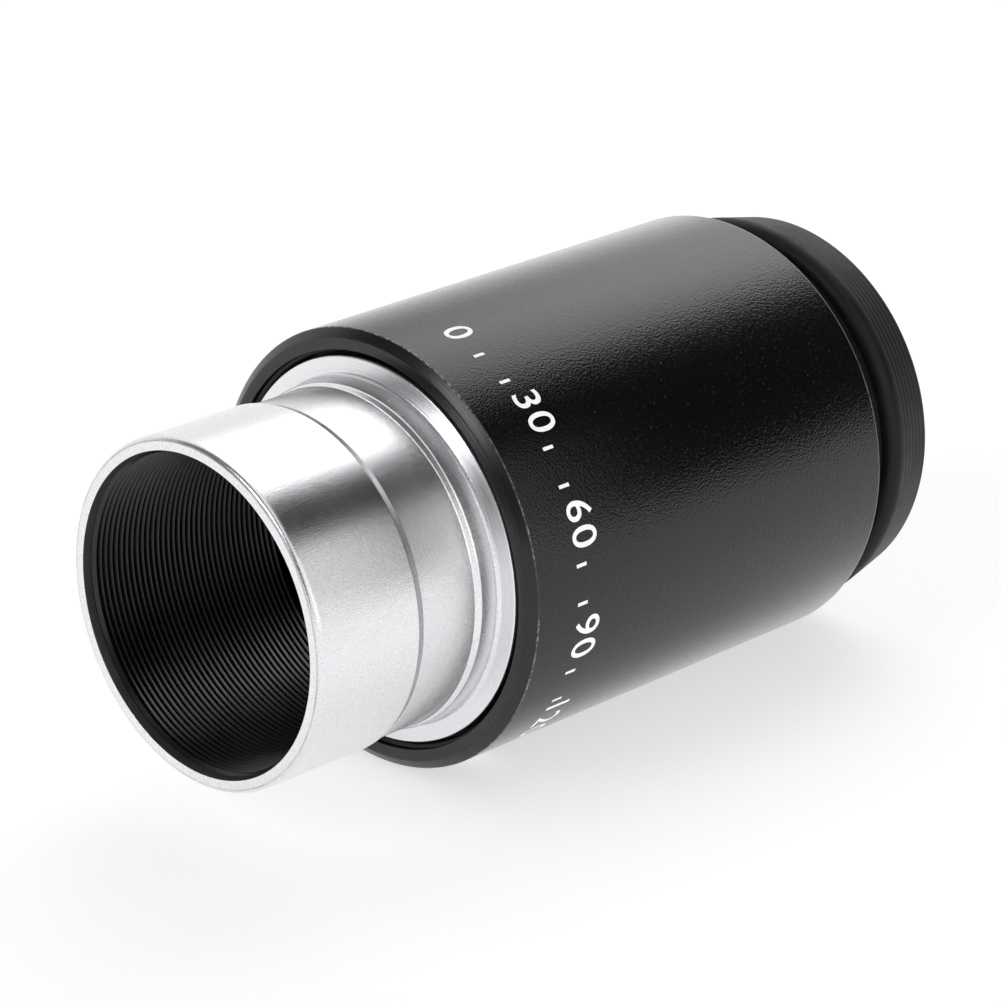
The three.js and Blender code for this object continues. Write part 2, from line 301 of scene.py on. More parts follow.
# %% Place about the axis: radius, station and angle
axis_place, _, place_out = new_group(
    "axis_place",
    [],
    [("Radius", "NodeSocketFloat"), ("Station", "NodeSocketFloat"), ("Angle", "NodeSocketFloat")],
)
coords = axis_place.nodes.new("ShaderNodeTexCoord")
split = axis_place.nodes.new("ShaderNodeSeparateXYZ")
axis_place.links.new(coords.outputs["Object"], split.inputs[0])
up = math_node(axis_place, "SUBTRACT", split.outputs["Z"], AXIS_Z)
square = math_node(axis_place, "MULTIPLY", split.outputs["X"], split.outputs["X"])
square = math_node(axis_place, "MULTIPLY_ADD", up, up, square)
radius = math_node(axis_place, "MULTIPLY", math_node(axis_place, "SQRT", square), 1 / MM)
along = math_node(axis_place, "SUBTRACT", split.outputs["Y"], FRONT_Y)
along = math_node(axis_place, "MULTIPLY", along, 1 / MM)
axis_place.links.new(radius, place_out.inputs["Radius"])
axis_place.links.new(along, place_out.inputs["Station"])
angle = math_node(axis_place, "ARCTAN2", split.outputs["X"], up)
axis_place.links.new(angle, place_out.inputs["Angle"])


def add_group(tree, group, **values):
    node = tree.nodes.new("ShaderNodeGroup")
    node.node_tree = group
    for name, value in values.items():
        node.inputs[name.replace("_", " ")].default_value = value
    return node


# %% Lathe rings
# The rings depend on radius and station, and only slowly on the angle, so they run round the piece.
lathe_rings, rings_in, rings_out = new_group(
    "lathe_rings",
    [("Pitch", "NodeSocketFloat", 0.12)],
    [("Height", "NodeSocketFloat"), ("Smudge", "NodeSocketFloat")],
)
here = add_group(lathe_rings, axis_place)
ring_place = lathe_rings.nodes.new("ShaderNodeCombineXYZ")
for socket, source in (("X", "Radius"), ("Y", "Station")):
    scaled = math_node(lathe_rings, "DIVIDE", here.outputs[source], rings_in.outputs["Pitch"])
    lathe_rings.links.new(scaled, ring_place.inputs[socket])
slow = math_node(lathe_rings, "MULTIPLY", here.outputs["Angle"], 0.6)
lathe_rings.links.new(slow, ring_place.inputs["Z"])
ring_noise = noise_node(lathe_rings, ring_place.outputs[0], 1.0, 3.0, 0.65)
lathe_rings.links.new(ring_noise, rings_out.inputs["Height"])
lathe_rings.links.new(object_noise(lathe_rings, 160.0, 4.0, 0.6), rings_out.inputs["Smudge"])

# %% Coating grain
# The height has two layers: rounded pebbles from a smooth Voronoi pattern, and a finer noise over them.
# A third noise picks out a few specks, which the body's coat paints a lighter grey as glints.
coat_grain, grain_in, grain_out = new_group(
    "coat_grain",
    [("Size mm", "NodeSocketFloat", 0.3)],
    [("Height", "NodeSocketFloat"), ("Specks", "NodeSocketFloat")],
)
grain_coords = coat_grain.nodes.new("ShaderNodeTexCoord")
grain_scale = math_node(coat_grain, "DIVIDE", 1 / MM, grain_in.outputs["Size mm"])
pebbles = coat_grain.nodes.new("ShaderNodeTexVoronoi")
pebbles.feature = "SMOOTH_F1"
pebbles.inputs["Smoothness"].default_value = 0.25
coat_grain.links.new(grain_coords.outputs["Object"], pebbles.inputs["Vector"])
coat_grain.links.new(grain_scale, pebbles.inputs["Scale"])
fine = coat_grain.nodes.new("ShaderNodeTexNoise")
fine.inputs["Detail"].default_value = 3.0
coat_grain.links.new(grain_coords.outputs["Object"], fine.inputs["Vector"])
coat_grain.links.new(math_node(coat_grain, "MULTIPLY", grain_scale, 1.3), fine.inputs["Scale"])
height = math_node(coat_grain, "MULTIPLY_ADD", pebbles.outputs["Distance"], -0.7, fine.outputs["Fac"])
coat_grain.links.new(height, grain_out.inputs["Height"])
speck_noise = object_noise(coat_grain, 5200.0, 1.0)
coat_grain.links.new(ramp_node(coat_grain, speck_noise, 0.71, 0.77), grain_out.inputs["Specks"])

# %% Metal speckle
# Polished metal is not a perfect mirror: a fine noise in three octaves breaks up what it reflects.
metal_speckle, speckle_in, speckle_out = new_group(
    "metal_speckle",
    [("Scale", "NodeSocketFloat", 6000.0)],
    [("Height", "NodeSocketFloat")],
)
speckle_coords = metal_speckle.nodes.new("ShaderNodeTexCoord")
speckle = metal_speckle.nodes.new("ShaderNodeTexNoise")
speckle.inputs["Detail"].default_value = 3.0
speckle.inputs["Roughness"].default_value = 0.6
metal_speckle.links.new(speckle_coords.outputs["Object"], speckle.inputs["Vector"])
metal_speckle.links.new(speckle_in.outputs["Scale"], speckle.inputs["Scale"])
metal_speckle.links.new(speckle.outputs["Fac"], speckle_out.inputs["Height"])
print("groups", [g.name for g in bpy.data.node_groups])

# %% [markdown]
# ## Materials
# Each finish is one material. The values that don't change over the surface sit on the shader's own
# sockets. The groups and noises only move the colour, the roughness, the bump's height and, on the worn
# edge, how metallic it is. No real surface is even, so every finish has at least one value that varies.

# %% Material helpers
def new_material(name, colour, roughness, metallic=0.0):
    material = bpy.data.materials.new(name)
    material.use_nodes = True
    shader = material.node_tree.nodes["Principled BSDF"]
    shader.inputs["Base Color"].default_value = (*colour, 1)
    shader.inputs["Roughness"].default_value = roughness
    shader.inputs["Metallic"].default_value = metallic
    return material, material.node_tree, shader


def add_bump(tree, shader, height, distance_mm):
    bump = tree.nodes.new("ShaderNodeBump")
    bump.inputs["Strength"].default_value = 1.0
    bump.inputs["Distance"].default_value = distance_mm * MM
    tree.links.new(height, bump.inputs["Height"])
    tree.links.new(bump.outputs["Normal"], shader.inputs["Normal"])


def mix_colour(tree, mask, first, second):
    mix = tree.nodes.new("ShaderNodeMix")
    mix.data_type = "RGBA"
    mix.inputs["A"].default_value = (*first, 1)
    mix.inputs["B"].default_value = (*second, 1)
    tree.links.new(mask, mix.inputs["Factor"])
    return mix.outputs["Result"]


def vary_roughness(tree, shader, noise, first, second, low=0.3, high=0.7):
    """The roughness runs from the first value to the second while the noise runs from low to high."""
    tree.links.new(ramp_node(tree, noise, low, high, first, second), shader.inputs["Roughness"])


def vary_colour(tree, shader, noise, first, second, low=0.3, high=0.7):
    """The colour runs from the first to the second while the noise runs from low to high."""
    mask = ramp_node(tree, noise, low, high)
    tree.links.new(mix_colour(tree, mask, first, second), shader.inputs["Base Color"])


# %% [markdown]
# ## Metal finishes
# The barrel is bright turned metal. It could be a plain mirror, but a real polish leaves a fine, slightly
# broken surface, which shows as speckle along the edge of a dark reflection. The undercut and the flange's
# foot are satin, the flange face is left as the tool cut it, and two narrow bands are dull or grey. The two
# brightest finishes differ only in roughness, so one function makes both.

# %% Bright and satin turned metal
METAL_SPECKLE_SHARE = 5.5


def turned_metal(name, smooth, rough):
    material, tree, shader = new_material(name, (0.84, 0.84, 0.86), smooth, 1.0)
    rings = add_group(tree, lathe_rings, Pitch=0.11)
    speckle = add_group(tree, metal_speckle, Scale=8500.0).outputs["Height"]
    vary_roughness(tree, shader, rings.outputs["Smudge"], smooth, rough)
    vary_colour(tree, shader, speckle, (0.74, 0.74, 0.76), (0.9, 0.9, 0.915), 0.35, 0.65)
    both = math_node(tree, "MULTIPLY_ADD", speckle, METAL_SPECKLE_SHARE, rings.outputs["Height"])
    add_bump(tree, shader, both, 0.003)
    return material


bright_metal = turned_metal("bright_turned_metal", 0.14, 0.2)
satin_metal = turned_metal("satin_turned_metal", 0.22, 0.28)

# %% Dulled metal of the line where the rim's face ends
dull_metal, tree, shader = new_material("dulled_metal", (0.62, 0.62, 0.64), 0.3, 1.0)
rings = add_group(tree, lathe_rings, Pitch=0.05)
vary_roughness(tree, shader, rings.outputs["Smudge"], 0.25, 0.4)
vary_colour(tree, shader, rings.outputs["Smudge"], (0.5, 0.5, 0.52), (0.75, 0.75, 0.77), 0.35, 0.65)

# %% Flange face as the tool cut it
# Its rings are deeper and its shine is broader.
flange_metal, tree, shader = new_material("tool_cut_metal", (0.84, 0.84, 0.86), 0.3, 1.0)
rings = add_group(tree, lathe_rings, Pitch=0.07)
vary_roughness(tree, shader, rings.outputs["Height"], 0.24, 0.38)
add_bump(tree, shader, rings.outputs["Height"], 0.004)

# %% Painted highlight on the field stop's thin edge
stop_painted_highlight, tree, shader = new_material("stop_edge_painted_highlight", (0.1, 0.1, 0.1), 0.45)
rings = add_group(tree, lathe_rings, Pitch=0.05)
vary_roughness(tree, shader, rings.outputs["Height"], 0.38, 0.55)

# %% [markdown]
# ## Black finishes
# Several blacks meet on this eyepiece, and each must differ from the next. The bore is blackened against
# stray light, with a lead-in painted a shade lighter. The body has a grained coat: it is
# deep black seen straight on and turns glossy at a glancing angle. A coat layer whose weight follows the
# viewing angle does that. The body's front is turned smooth after coating, and the inner rings are matt.

# %% Lead-in at the mouth of the bore, painted a shade lighter
lead_grey, tree, shader = new_material("lighter_lead_in", (0.05, 0.05, 0.052), 0.5)
rings = add_group(tree, lathe_rings, Pitch=0.05)
vary_roughness(tree, shader, rings.outputs["Height"], 0.42, 0.58)
vary_colour(tree, shader, rings.outputs["Smudge"], (0.03, 0.03, 0.031), (0.055, 0.055, 0.058))

# %% Blackened bore
bore_black, tree, shader = new_material("blackened_bore", (0.003, 0.003, 0.003), 0.28)
rings = add_group(tree, lathe_rings, Pitch=0.05)
smudge = rings.outputs["Smudge"]
vary_roughness(tree, shader, smudge, 0.24, 0.34)
vary_colour(tree, shader, smudge, (0.002, 0.002, 0.002), (0.004, 0.004, 0.0045), 0.35, 0.75)
add_bump(tree, shader, rings.outputs["Height"], 0.0015)

# %% Grained black coat of the body
coat_black, tree, shader = new_material("grained_black_coat", (0.0025, 0.0025, 0.0025), 0.22)
shader.inputs["Coat Roughness"].default_value = 0.22
grain = add_group(tree, coat_grain, Size_mm=0.22)
# The specks are painted a lighter grey: painted glints of the grain's sparkle.
painted_glints = mix_colour(tree, grain.outputs["Specks"], (0.0015, 0.0015, 0.0017), (0.05, 0.05, 0.052))
tree.links.new(painted_glints, shader.inputs["Base Color"])
vary_roughness(tree, shader, grain.outputs["Height"], 0.22, 0.15, -0.3, 0.5)
glance = tree.nodes.new("ShaderNodeLayerWeight")
gloss = ramp_node(tree, glance.outputs["Facing"], 0.54, 0.9, 0.0, 0.75)
tree.links.new(gloss, shader.inputs["Coat Weight"])
add_bump(tree, shader, grain.outputs["Height"], 0.027)

# %% Smooth turned black of the body's front
ring_black, tree, shader = new_material("turned_black_ring", (0.003, 0.003, 0.0035), 0.24)
rings = add_group(tree, lathe_rings, Pitch=0.09)
vary_roughness(tree, shader, rings.outputs["Height"], 0.2, 0.32)
vary_colour(tree, shader, rings.outputs["Smudge"], (0.002, 0.002, 0.0025), (0.005, 0.005, 0.006))
add_bump(tree, shader, rings.outputs["Height"], 0.003)

# %% Worn edge of the coat
# Where the front chamfer meets the coat, the black has rubbed thin and a little bright metal shows.
worn_edge, tree, shader = new_material("worn_edge", (0.1, 0.1, 0.1), 0.35)
patchy = ramp_node(tree, object_noise(tree, 2600.0, 4.0, 0.7), 0.42, 0.6)
slow = ramp_node(tree, object_noise(tree, 170.0, 2.0), 0.3, 0.6)
worn = math_node(tree, "MULTIPLY", patchy, slow)
tree.links.new(mix_colour(tree, worn, (0.02, 0.02, 0.021), (0.3, 0.3, 0.305)), shader.inputs["Base Color"])
tree.links.new(worn, shader.inputs["Metallic"])

# %% Matt black metal of the inner rings
matt_black, tree, shader = new_material("matt_black_metal", (0.012, 0.012, 0.013), 0.55)
rings = add_group(tree, lathe_rings, Pitch=0.08)
vary_roughness(tree, shader, rings.outputs["Smudge"], 0.48, 0.62)
vary_colour(tree, shader, rings.outputs["Smudge"], (0.008, 0.008, 0.009), (0.014, 0.014, 0.015))
add_bump(tree, shader, rings.outputs["Height"], 0.004)

# %% [markdown]
# ## Rubber, print, glass and small parts
# Rubber is soft and cloudy, so its colour and roughness drift slowly. The print is white ink, thin in
# places, and glows a very little so that it stays white on the shaded side. The lenses are clear glass.
# Their coating shows only in the reflection, so its colour goes into the specular tint.

# %% Rubber of the eyecup
rubber, tree, shader = new_material("eyecup_rubber", (0.008, 0.008, 0.009), 0.5)
shader.inputs["Specular IOR Level"].default_value = 0.24
grain = add_group(tree, coat_grain, Size_mm=0.12)
cloudy = object_noise(tree, 220.0, 4.0, 0.6)
vary_colour(tree, shader, cloudy, (0.0055, 0.0055, 0.0068), (0.009, 0.009, 0.0108), 0.35, 0.75)
vary_roughness(tree, shader, cloudy, 0.44, 0.56, 0.35, 0.75)
add_bump(tree, shader, grain.outputs["Height"], 0.006)

# %% White ink of the index print
print_white, tree, shader = new_material("white_print", (0.94, 0.94, 0.94), 0.5)
shader.inputs["Emission Color"].default_value = (1, 1, 1, 1)
shader.inputs["Emission Strength"].default_value = 0.15
thin = object_noise(tree, 2400.0, 3.0)
vary_colour(tree, shader, thin, (0.85, 0.85, 0.85), (0.96, 0.96, 0.96), 0.3, 0.5)
grain = add_group(tree, coat_grain, Size_mm=0.3)
add_bump(tree, shader, grain.outputs["Height"], 0.008)


# %% Coated glass
def coated_glass(name, tint, index, reflection):
    material, tree, shader = new_material(name, tint, 0.0)
    shader.inputs["Transmission Weight"].default_value = 1.0
    shader.inputs["IOR"].default_value = index
    shader.inputs["Specular Tint"].default_value = (*reflection, 1)
    haze = object_noise(tree, 300.0, 3.0)
    vary_roughness(tree, shader, haze, 0.0, 0.03, 0.45, 0.9)
    return material


crown_glass = coated_glass("crown_glass", (0.98, 1.0, 0.99), 1.52, (0.45, 0.85, 0.6))
flint_glass = coated_glass("flint_glass", (0.98, 0.99, 0.97), 1.62, (0.55, 0.6, 1.0))

# %% Blackened steel of the screws, and the slip washer
screw_steel, tree, shader = new_material("blackened_steel", (0.05, 0.05, 0.055), 0.35, 1.0)
vary_roughness(tree, shader, object_noise(tree, 1500.0, 3.0), 0.28, 0.45)

washer_black, tree, shader = new_material("slip_washer_black", (0.015, 0.015, 0.015), 0.5)
vary_roughness(tree, shader, object_noise(tree, 900.0, 3.0), 0.42, 0.6)
print("materials", len(bpy.data.materials))

# %% [markdown]
# ## Turning
# A section is a list of corners, each a radius, a station and how much its edge is rounded. No real edge is
# perfectly sharp: a tenth of a millimetre of round is what catches the light. `rounded` puts a short curve
# at each corner, and `turn` spins the section about the axis.

# %% Rounding and turning
FINE_STEPS = 192
INNER_STEPS = 96
CORNER_STEPS = 3
SHARP_DEG = 32
MERGE = 0.0005 * MM


def rounded(corners, closed=True):
    """The section's points, with a curve in place of each corner that has a round."""
    points = []
    for i, (radius, station, size) in enumerate(corners):
        here = Vector((radius, station))
        at_end = not closed and i in (0, len(corners) - 1)
        if size == 0 or at_end:
            points.append(here)
            continue
        before = Vector(corners[i - 1][:2]) - here
        after = Vector(corners[(i + 1) % len(corners)][:2]) - here
        start = here + before.normalized() * min(size, before.length * 0.45)
        end = here + after.normalized() * min(size, after.length * 0.45)
        for step in range(CORNER_STEPS + 1):
            t = step / CORNER_STEPS
            points.append((1 - t) ** 2 * start + 2 * t * (1 - t) * here + t * t * end)
    return points


def turn(name, points, steps=FINE_STEPS, closed=True):
    """Spins a section about the optical axis into a closed mesh object."""
    bm = bmesh.new()
    verts = [bm.verts.new((p[0] * MM, FRONT_Y + p[1] * MM, AXIS_Z)) for p in points]
    pairs = list(zip(verts, verts[1:]))
    if closed:
        pairs.append((verts[-1], verts[0]))
    edges = [bm.edges.new(pair) for pair in pairs]
    bmesh.ops.spin(
        bm,
        geom=verts + edges,
        cent=(0, 0, AXIS_Z),
        axis=(0, 1, 0),
        angle=2 * math.pi,
        steps=steps,
        use_merge=True,
    )
    bmesh.ops.remove_doubles(bm, verts=bm.verts, dist=MERGE)
    bmesh.ops.recalc_face_normals(bm, faces=bm.faces)
    return finish_mesh(name, bm)


def finish_mesh(name, bm):
    """Marks sharp edges, shades the rest smooth and makes the object."""
    for face in bm.faces:
        face.smooth = True
    for edge in bm.edges:
        edge.smooth = len(edge.link_faces) == 2 and edge.calc_face_angle(0) < math.radians(SHARP_DEG)
    mesh = bpy.data.meshes.new(name)
    bm.to_mesh(mesh)
    bm.free()
    piece = bpy.data.objects.new(name, mesh)
    bpy.context.scene.collection.objects.link(piece)
    triangles = sum(len(face.vertices) - 2 for face in mesh.polygons)
    print(f"{name}: {len(mesh.vertices)} points, {triangles} triangles")
    return piece


def paint(piece, *materials, zone=None):
    """Gives the piece its materials. zone(radius, station) says which one a face takes."""
    for material in materials:
        piece.data.materials.append(material)
    if zone is None:
        return
    for face in piece.data.polygons:
        x, y, z = face.center
        face.material_index = zone(math.hypot(x, z - AXIS_Z) / MM, station_of(y))


def settle(piece, body, slot, *nodes):
    """The piece rides on a body and stands for its CAD nodes. Its slot is not used."""
    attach(piece, body)
    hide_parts(*nodes)


# %% [markdown]
# ## The barrel
# From the front: a rounded rim, the slip-fit length, a small step down into the safety undercut, a bright
# step up again, and the flange with a small fillet at its foot. Inside, a smooth lead-in and then the fine
# thread. A thread of 0.6 mm pitch is too fine to show its slope, so its ridges are drawn as closed rings:
# the section walks down the bore in zigzag steps, with the crests and roots slightly flattened.

# %% Barrel sizes
RIM_FRONT = -0.15
RIM_FACE_R = BARREL_R - 0.42
STEP_DOWN = 11.2
STEP_UP = 18.2
UNDERCUT_R = 15.55
FLANGE_FACE = 20.75
FLANGE_BACK = 22.2
FLANGE_FILLET = 0.3
SPIGOT_R = 16.5
SPIGOT_ENDS_R = SPIGOT_R - 0.4
BORE_R = 14.25
MOUTH_R = 14.62
LEAD_IN = 0.62
THREAD_START = 1.1
THREAD_TURNS = 35
THREAD_PITCH = 0.6
THREAD_DEPTH = 0.27
SPIGOT_THREAD_START = 23.9
SPIGOT_THREAD_MIDDLE = 26.1
SPIGOT_THREAD_TURNS = 7
SPIGOT_THREAD_PITCH = 0.75
SPIGOT_THREAD_DEPTH = 0.3


# %% Thread ridges
def thread_ridges(radius, start, turns, pitch, depth):
    """Crests at the radius and roots further out by the depth, or further in where it is negative."""
    points = []
    for i in range(turns - 1, -1, -1):
        station = start + i * pitch
        points += [
            (radius + depth, station + 0.65 * pitch, 0),
            (radius + depth, station + 0.35 * pitch, 0),
            (radius, station + 0.05 * pitch, 0),
            (radius, station - 0.05 * pitch, 0),
        ]
    return points


def mirrored(points, middle):
    """The points mirrored about a station, so that they run the other way."""
    return [(radius, 2 * middle - station, size) for radius, station, size in points]


bore_thread = thread_ridges(BORE_R, THREAD_START, THREAD_TURNS, THREAD_PITCH, THREAD_DEPTH)
spigot_thread = mirrored(
    thread_ridges(
        SPIGOT_R,
        SPIGOT_THREAD_START,
        SPIGOT_THREAD_TURNS,
        SPIGOT_THREAD_PITCH,
        -SPIGOT_THREAD_DEPTH,
    ),
    SPIGOT_THREAD_MIDDLE,
)
print("bore thread", len(bore_thread), "corners, spigot thread", len(spigot_thread), "corners")

# %% Barrel section
barrel_corners = [
    (MOUTH_R + 0.02, RIM_FRONT, 0.02),
    (RIM_FACE_R, RIM_FRONT, 0.12),
    (BARREL_R - 0.1, RIM_FRONT + 0.16, 0.2),
    (BARREL_R, RIM_FRONT + 0.5, 0.2),
    (BARREL_R, STEP_DOWN, 0.05),
    (UNDERCUT_R, STEP_DOWN + 0.85, 0.05),
    (UNDERCUT_R, STEP_UP, 0.12),
    (BARREL_R, STEP_UP + 0.42, 0.12),
    (BARREL_R, FLANGE_FACE - 0.35, 0.15),
    (BARREL_R + FLANGE_FILLET, FLANGE_FACE, 0.15),
    (FLANGE_R - 0.12, FLANGE_FACE, 0.06),
    (FLANGE_R, FLANGE_FACE + 0.12, 0.06),
    (FLANGE_R, FLANGE_BACK, 0.1),
    (SPIGOT_ENDS_R, FLANGE_BACK, 0.1),
    *spigot_thread,
    (SPIGOT_ENDS_R, BARREL_END, 0.1),
    (BORE_R, BARREL_END, 0.1),
    *bore_thread,
    (BORE_R + THREAD_DEPTH, LEAD_IN + 0.12, 0),
    (BORE_R + 0.2, LEAD_IN, 0.02),
    (MOUTH_R, RIM_FRONT + 0.04, 0.02),
]
barrel = turn("barrel", rounded(barrel_corners))

# %% Barrel finishes, chosen by radius and station
BARREL_FINISHES = [bright_metal, bore_black, flange_metal, satin_metal, lead_grey, dull_metal]
BRIGHT, BORE, FLANGE, SATIN, LEAD, DULL = range(len(BARREL_FINISHES))


def barrel_zone(radius, station):
    if radius < MOUTH_R + 0.01 and station > RIM_FRONT + 0.02:
        return LEAD if station < LEAD_IN else BORE
    if station < 0.1 and abs(radius - RIM_FACE_R) < 0.07:
        return DULL
    if radius > BARREL_R + 0.2 and abs(station - FLANGE_FACE) < 0.05:
        return FLANGE
    in_undercut = STEP_DOWN + 0.8 < station < STEP_UP - 0.1
    at_flange_foot = STEP_UP + 0.5 < station < FLANGE_FACE
    return SATIN if in_undercut or at_flange_foot else BRIGHT


paint(barrel, *BARREL_FINISHES, zone=barrel_zone)
settle(barrel, "nosepiece", "polished_barrel", "nosepiece_barrel")

# %% [markdown]
# ## Field stop and slip washer
# The field stop is the ring that gives the view its sharp border. It is turned to a thin edge, painted grey
# as a highlight, and sits deep in the bore. The slip washer is a plain ring with softened edges.

# %% Field stop
STOP_EDGE = 0.55
stop_front, stop_back = span_of("field_stop_ring")
stop_r = radius_of("field_stop_ring", INNER_SIDES)
stop_corners = [
    (stop_r - 0.75, stop_front + 0.1, 0.03),
    (stop_r - 0.6, stop_front, 0.04),
    (stop_r, stop_front, 0.06),
    (stop_r, stop_back, 0.06),
    (stop_r - 0.35, stop_back, 0.06),
    (stop_r - 0.78, stop_front + 0.3, 0.03),
]
field_stop = turn("field_stop", rounded(stop_corners))


def stop_zone(radius, station):
    """The thin edge takes the second material, grey as a painted highlight. The rest is matt black."""
    return 1 if radius < stop_r - STOP_EDGE else 0


paint(field_stop, matt_black, stop_painted_highlight, zone=stop_zone)
settle(field_stop, "nosepiece", "matt_black_metal", "field_stop_ring")

# %% Slip washer
washer_front, washer_back = span_of("flange_washer")
washer_r = radius_of("flange_washer")
washer_corners = [
    (SPIGOT_R + 0.1, washer_front, 0.1),
    (washer_r, washer_front, 0.15),
    (washer_r, washer_back, 0.15),
    (SPIGOT_R + 0.1, washer_back, 0.1),
]
washer = turn("washer", rounded(washer_corners))
paint(washer, washer_black)
settle(washer, "slip_washer", "slip_washer", "flange_washer")

# %% [markdown]
# ## The body shell
# The body is a sleeve with a coat of fine grain. Its front face and chamfer were turned after coating, so
# they are smooth and show the tool's rings. The recess behind them takes the flange, and narrows by a small
# step. The rear edge has a narrow bevel. Inside, a shoulder stops the lens cell, and the rear mouth is
# stepped to take the cap.

# %% Shell section
RECESS_R = 18.35
RECESS_STEP = 0.3
FRONT_FACE_R = SHELL_R - 0.85
SHELL_CHAMFER = 0.6
COLLAR_FACE = 23.05
COLLAR_R = 16.85
CELL_SHOULDER_R = 15.3
CELL_SHOULDER_FRONT = 40.5
CELL_SHOULDER_BACK = 43.3
CAP_SEAT_R = 18.0
REAR_MOUTH_R = 18.9
REAR_MOUTH_FRONT = SHELL_REAR - 1.1
shell_corners = [
    (RECESS_R, SHELL_FRONT, 0.08),
    (FRONT_FACE_R, SHELL_FRONT, 0.1),
    (SHELL_R, SHELL_FRONT + SHELL_CHAMFER, 0.08),
    (SHELL_R, SHELL_REAR - 0.3, 0.2),
    (SHELL_R - 0.25, SHELL_REAR, 0.15),
    (REAR_MOUTH_R, SHELL_REAR, 0.1),
    (REAR_MOUTH_R, REAR_MOUTH_FRONT, 0.1),
    (CAP_SEAT_R, REAR_MOUTH_FRONT, 0.1),
    (CAP_SEAT_R, CELL_SHOULDER_BACK, 0.1),
    (CELL_SHOULDER_R, CELL_SHOULDER_BACK, 0.1),
    (CELL_SHOULDER_R, CELL_SHOULDER_FRONT, 0.1),
    (COLLAR_R, CELL_SHOULDER_FRONT, 0.1),
    (COLLAR_R, COLLAR_FACE, 0.1),
    (RECESS_R - RECESS_STEP, COLLAR_FACE, 0.05),
    (RECESS_R - RECESS_STEP, SHELL_FRONT + 0.75, 0.05),
    (RECESS_R, SHELL_FRONT + 0.6, 0.05),
]
shell = turn("shell", rounded(shell_corners))

# %% Shell finishes
SHELL_FINISHES = [coat_black, ring_black, matt_black, worn_edge]
COAT, TURNED, MATT, WORN = range(len(SHELL_FINISHES))


def shell_zone(radius, station):
    behind_chamfer = station - SHELL_FRONT - SHELL_CHAMFER
    if radius > SHELL_R - 0.1 and abs(behind_chamfer) < 0.06:
        return WORN
    if radius > REAR_MOUTH_R + 0.05 and behind_chamfer > 0 and station < SHELL_REAR - 0.02:
        return COAT
    return TURNED if station < COLLAR_FACE and radius > RECESS_R - 0.05 else MATT


paint(shell, *SHELL_FINISHES, zone=shell_zone)
settle(shell, "housing", "grained_shell", "body_shell")

# %% [markdown]
# ## The index print
# A row of white figures runs half way round the body near its front: a plain scale of degrees, with short
# strokes between the figures. Blender's text makes the outlines. They become a mesh, are cut into narrow
# strips so that they can bend, and are wrapped onto the body, standing proud by the thickness of the ink.

# %% Print helpers
PRINT_STATION = SHELL_FRONT + 5.4
PRINT_HEIGHT = 3.0
PRINT_LIFT = 0.012
FIGURE_SHARE = 0.72
FIGURE_SPACING = 1.12
FIGURE_BOLDNESS = 0.025
STROKE_WIDTH = 0.32
STROKE_LENGTH = 1.2
STRIP = 0.35
FIGURE_STEP = 30
STROKE_STEP = 10
SCALE_START = 12
SCALE_LENGTH = 180


def flat_text(words):
    """A flat mesh of the words in millimetres, centred on x = 0 with its baseline on y = 0."""
    curve = bpy.data.curves.new("words", "FONT")
    curve.body = words
    curve.align_x = "CENTER"
    curve.size = PRINT_HEIGHT / FIGURE_SHARE
    curve.space_character = FIGURE_SPACING
    curve.offset = FIGURE_BOLDNESS
    curve.resolution_u = 5
    text = bpy.data.objects.new("words", curve)
    bpy.context.scene.collection.objects.link(text)
    bpy.context.view_layer.update()
    bm = bmesh.new()
    bm.from_mesh(text.to_mesh())
    text.to_mesh_clear()
    bpy.data.objects.remove(text)
    bpy.data.curves.remove(curve)
    return bm


def flat_stroke():
    bm = bmesh.new()
    bmesh.ops.create_grid(bm, x_segments=1, y_segments=1, size=0.5)
    bmesh.ops.scale(bm, verts=bm.verts, vec=(STROKE_WIDTH, STROKE_LENGTH, 1))
    bmesh.ops.translate(bm, verts=bm.verts, vec=(0, STROKE_LENGTH / 2, 0))
    return bm


def wrap(bm, angle):
    """Cuts a flat shape into strips and bends it round the body at an angle from the top."""
    reach = max(abs(v.co.x) for v in bm.verts)
    for i in range(-int(reach / STRIP), int(reach / STRIP) + 1):
        geom = list(bm.verts) + list(bm.edges) + list(bm.faces)
        cut_at = (i * STRIP, 0, 0)
        bmesh.ops.bisect_plane(bm, geom=geom, plane_co=cut_at, plane_no=(1, 0, 0), dist=1e-5)
    radius = SHELL_R + PRINT_LIFT
    for v in bm.verts:
        turn_by = angle + v.co.x / radius
        v.co = (
            radius * MM * math.sin(turn_by),
            FRONT_Y + (PRINT_STATION + v.co.y) * MM,
            AXIS_Z + radius * MM * math.cos(turn_by),
        )
    return bm


# %% Wrap the figures and strokes
index_print = bmesh.new()
scratch = bpy.data.meshes.new("scratch")
for degrees in range(0, SCALE_LENGTH + 1, STROKE_STEP):
    shape = flat_text(str(degrees)) if degrees % FIGURE_STEP == 0 else flat_stroke()
    wrap(shape, math.radians(degrees + SCALE_START)).to_mesh(scratch)
    shape.free()
    index_print.from_mesh(scratch)
bpy.data.meshes.remove(scratch)
bmesh.ops.remove_doubles(index_print, verts=index_print.verts, dist=0.001 * MM)
for face in index_print.faces:
    face.normal_update()
    outward = face.calc_center_median() - place_of(PRINT_STATION)
    if face.normal.dot(outward - Vector((0, outward.y, 0))) < 0:
        face.normal_flip()
marks = finish_mesh("index_marks", index_print)
paint(marks, print_white)
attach(marks, "housing")

# %% [markdown]
# ## Inside the body
# A baffle stops stray light, the cell holds the lenses, and ring nuts hold the cell and the lenses. They
# are all matt black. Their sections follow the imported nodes, with softened edges, and nothing of them shows
# but the parts that face the two openings, so they are turned with fewer steps.

# %% Baffle
SOFT_EDGE = 0.08
BAFFLE_HOLE_R = 12.7
BAFFLE_WALL = 0.75


